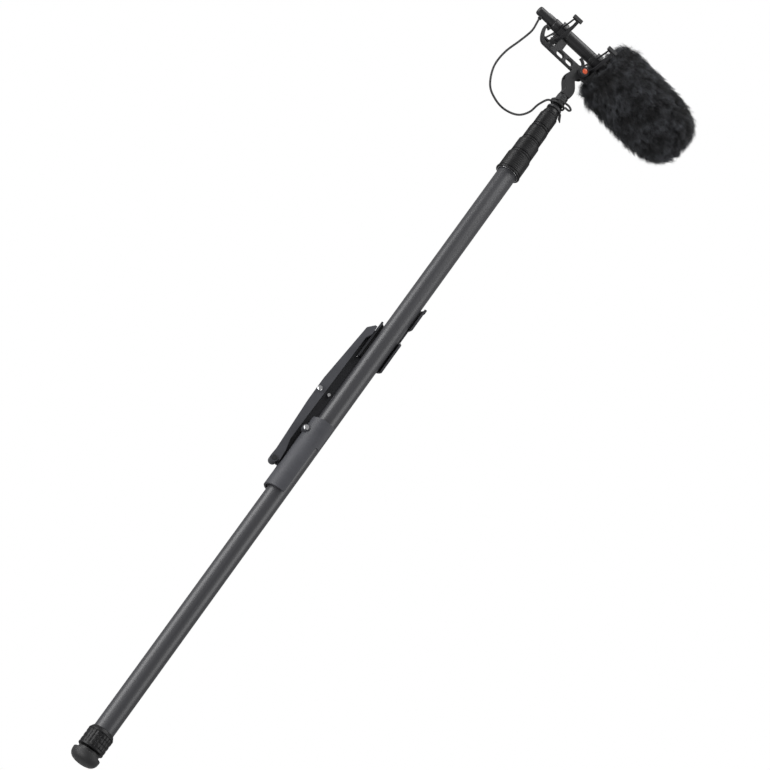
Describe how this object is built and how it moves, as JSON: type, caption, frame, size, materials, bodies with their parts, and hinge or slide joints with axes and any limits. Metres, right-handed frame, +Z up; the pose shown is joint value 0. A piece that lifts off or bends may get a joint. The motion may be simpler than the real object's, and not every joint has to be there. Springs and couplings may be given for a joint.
{
  "type": "boom pole",
  "caption": "Telescopic carbon boom pole with twist-lock collars, suspended shotgun microphone in a fur windshield, and a clip-on cradle that supports the pole at mid-length.",
  "frame": {"origin": "centre of the rubber foot's flat bottom, on the pole's axis", "axes": "+Z up the pole, +X the way the microphone points, the pivot's axis along Y"},
  "size_m": [0.3304, 0.114, 1.4615],
  "materials": {
    "carbon": "satin woven carbon-fibre tube",
    "anodised": "black anodised aluminium, fine ribs",
    "black_plastic": "satin moulded plastic",
    "grey_plastic": "matte blue-grey moulded plastic",
    "bush": "natural acetal",
    "rubber": "matte rubber",
    "steel": "bright steel",
    "orange": "orange-red plastic",
    "foam": "open-cell foam",
    "fur": "long-pile black fur"
  },
  "bodies": {
    "pole_base": {"base_tube": "carbon", "end_plug": "black_plastic", "ferrule_1": "anodised", "collet_1": "bush"},
    "end_cap": {"end_collar": "anodised", "rubber_foot": "rubber"},
    "section_2": {"tube_2": "carbon", "slide_bush_2": "bush", "ferrule_2": "anodised", "collet_2": "bush"},
    "section_3": {"tube_3": "carbon", "slide_bush_3": "bush", "ferrule_3": "anodised", "collet_3": "bush"},
    "section_4": {"tube_4": "carbon", "slide_bush_4": "bush", "ferrule_4": "anodised", "collet_4": "bush"},
    "section_5": {"tube_5": "carbon", "slide_bush_5": "bush", "tip_ferrule": "anodised", "tip_stud": "steel", "swivel_base": "black_plastic", "swivel_arm": "black_plastic", "pivot_pin": "steel", "cable_tie": "black_plastic"},
    "lock_1": {"lock_collar_1": "anodised"},
    "lock_2": {"lock_collar_2": "anodised"},
    "lock_3": {"lock_collar_3": "anodised"},
    "lock_4": {"lock_collar_4": "anodised"},
    "suspension": {"suspension_bar": "black_plastic", "rear_lyre": "black_plastic", "front_lyre": "black_plastic", "rear_lyre_screw": "steel", "front_lyre_screw": "steel", "mic_body": "anodised", "plug_shell": "black_plastic", "plug_boot": "rubber", "mic_cable": "rubber", "windshield_core": "foam", "fur_cover": "fur"},
    "knob": {"clamp_knob": "black_plastic", "knob_insert": "orange"},
    "latch": {"plug_latch": "steel"},
    "support": {"support_spine": "grey_plastic", "lower_saddle": "grey_plastic", "upper_saddle": "grey_plastic", "lower_pad": "foam", "upper_pad": "foam", "spine_pin": "anodised", "spine_bolt": "steel", "saddle_bolt": "steel", "web_screw": "steel"}
  },
  "joints": [
    {"name": "slide_2", "type": "slide", "parent": "pole_base", "child": "section_2", "axis": [0, 0, 1], "range_m": [0, 1.05]},
    {"name": "slide_3", "type": "slide", "parent": "section_2", "child": "section_3", "axis": [0, 0, 1], "range_m": [0, 1.05]},
    {"name": "slide_4", "type": "slide", "parent": "section_3", "child": "section_4", "axis": [0, 0, 1], "range_m": [0, 1.05]},
    {"name": "slide_5", "type": "slide", "parent": "section_4", "child": "section_5", "axis": [0, 0, 1], "range_m": [0, 1.05]},
    {"name": "twist_1", "type": "hinge", "parent": "pole_base", "child": "lock_1", "pos_m": [0, 0, 1.162], "axis": [0, 0, 1], "range_deg": [0, 90]},
    {"name": "twist_2", "type": "hinge", "parent": "section_2", "child": "lock_2", "pos_m": [0, 0, 1.199], "axis": [0, 0, 1], "range_deg": [0, 90]},
    {"name": "twist_3", "type": "hinge", "parent": "section_3", "child": "lock_3", "pos_m": [0, 0, 1.229], "axis": [0, 0, 1], "range_deg": [0, 90]},
    {"name": "twist_4", "type": "hinge", "parent": "section_4", "child": "lock_4", "pos_m": [0, 0, 1.259], "axis": [0, 0, 1], "range_deg": [0, 90]},
    {"name": "end_cap_turn", "type": "hinge", "parent": "pole_base", "child": "end_cap", "pos_m": [0, 0, 0.03], "axis": [0, 0, 1], "range_deg": [-270, 0]},
    {"name": "mic_tilt", "type": "hinge", "parent": "section_5", "child": "suspension", "pos_m": [0.0005, 0, 1.37], "axis": [0, 1, 0], "range_deg": [-33, 38], "deforming": ["mic_cable"]},
    {"name": "knob_turn", "type": "hinge", "parent": "section_5", "child": "knob", "pos_m": [0.0005, -0.012, 1.37], "axis": [0, -1, 0], "range_deg": [0, 180]},
    {"name": "latch_press", "type": "slide", "parent": "suspension", "child": "latch", "axis": [0, 0, -1], "range_m": [0, 0.001]},
    {"name": "support_slide", "type": "slide", "parent": "pole_base", "child": "support", "axis": [0, 0, 1], "range_m": [-0.4, 0.25]}
  ]
}
